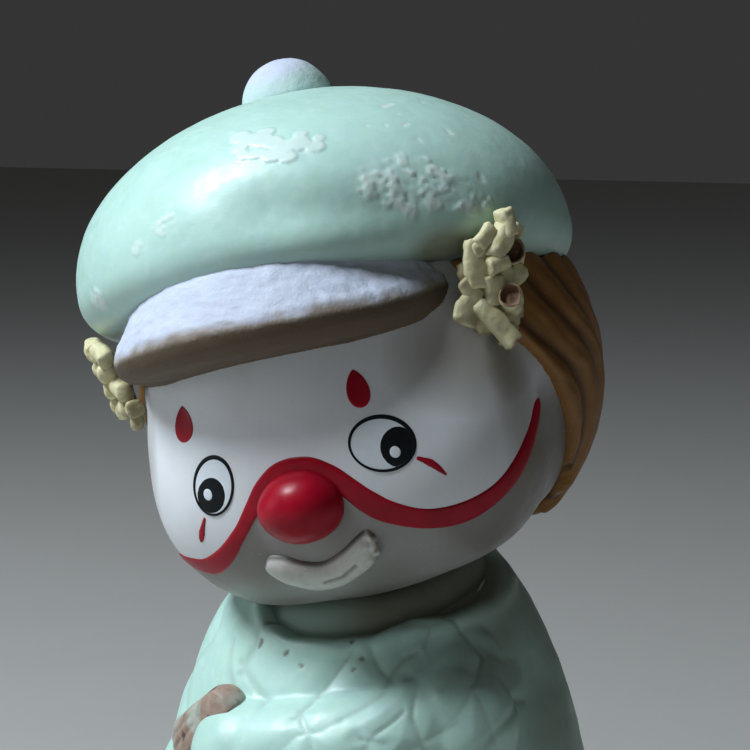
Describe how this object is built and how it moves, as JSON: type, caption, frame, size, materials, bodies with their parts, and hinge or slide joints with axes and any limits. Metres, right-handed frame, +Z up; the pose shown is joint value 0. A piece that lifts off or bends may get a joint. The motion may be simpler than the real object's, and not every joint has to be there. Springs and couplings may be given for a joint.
{
  "type": "bubbling clown ornament",
  "caption": "Hollow ceramic clown in a puffy cap, seated with folded arms and a leaning head, with an air inlet at the back and bubble outlets under the cap.",
  "frame": {"origin": "on the body's axis at the mouth of the base opening, in the plane that the figure stands on", "axes": "+Z up, -Y to the figure's front, +X to the figure's left"},
  "size_m": [0.052, 0.0757, 0.0999],
  "materials": {
    "mint_paint": "cold-painted mint, satin, blistered and flaking",
    "bisque": "bare tan clay, matte",
    "white_bisque": "white, waxy satin",
    "lilac_paint": "pale lilac, rough",
    "caramel_paint": "caramel brown, satin",
    "straw_clay": "pale straw, matte, brown broken ends",
    "red_enamel": "gloss red",
    "black_rubber": "matte",
    "clear_plastic": "frosted clear",
    "silicone": "translucent",
    "blue_plastic": "matte",
    "air_stone": "porous, matte"
  },
  "bodies": {
    "figure": {"torso": "mint_paint", "sleeve_left": "mint_paint", "sleeve_right": "mint_paint", "leg_left": "mint_paint", "leg_right": "mint_paint", "cap_crown": "mint_paint", "base_disc": "bisque", "hand_left": "bisque", "hand_right": "bisque", "head": "white_bisque", "lips": "white_bisque", "cap_visor": "lilac_paint", "cap_pompom": "lilac_paint", "hair": "caramel_paint", "shoe_left": "caramel_paint", "shoe_right": "caramel_paint", "curls_left": "straw_clay", "curls_right": "straw_clay", "nose": "red_enamel", "grommet": "black_rubber"},
    "air_line": {"air_elbow": "clear_plastic", "inner_hose": "silicone", "stone_nipple": "blue_plastic", "diffuser_stone": "air_stone"}
  },
  "joints": [
    {"name": "elbow_swivel", "type": "hinge", "parent": "figure", "child": "air_line", "pos_m": [0, 0.024, 0.017], "axis": [0, 1, 0], "continuous": true}
  ]
}
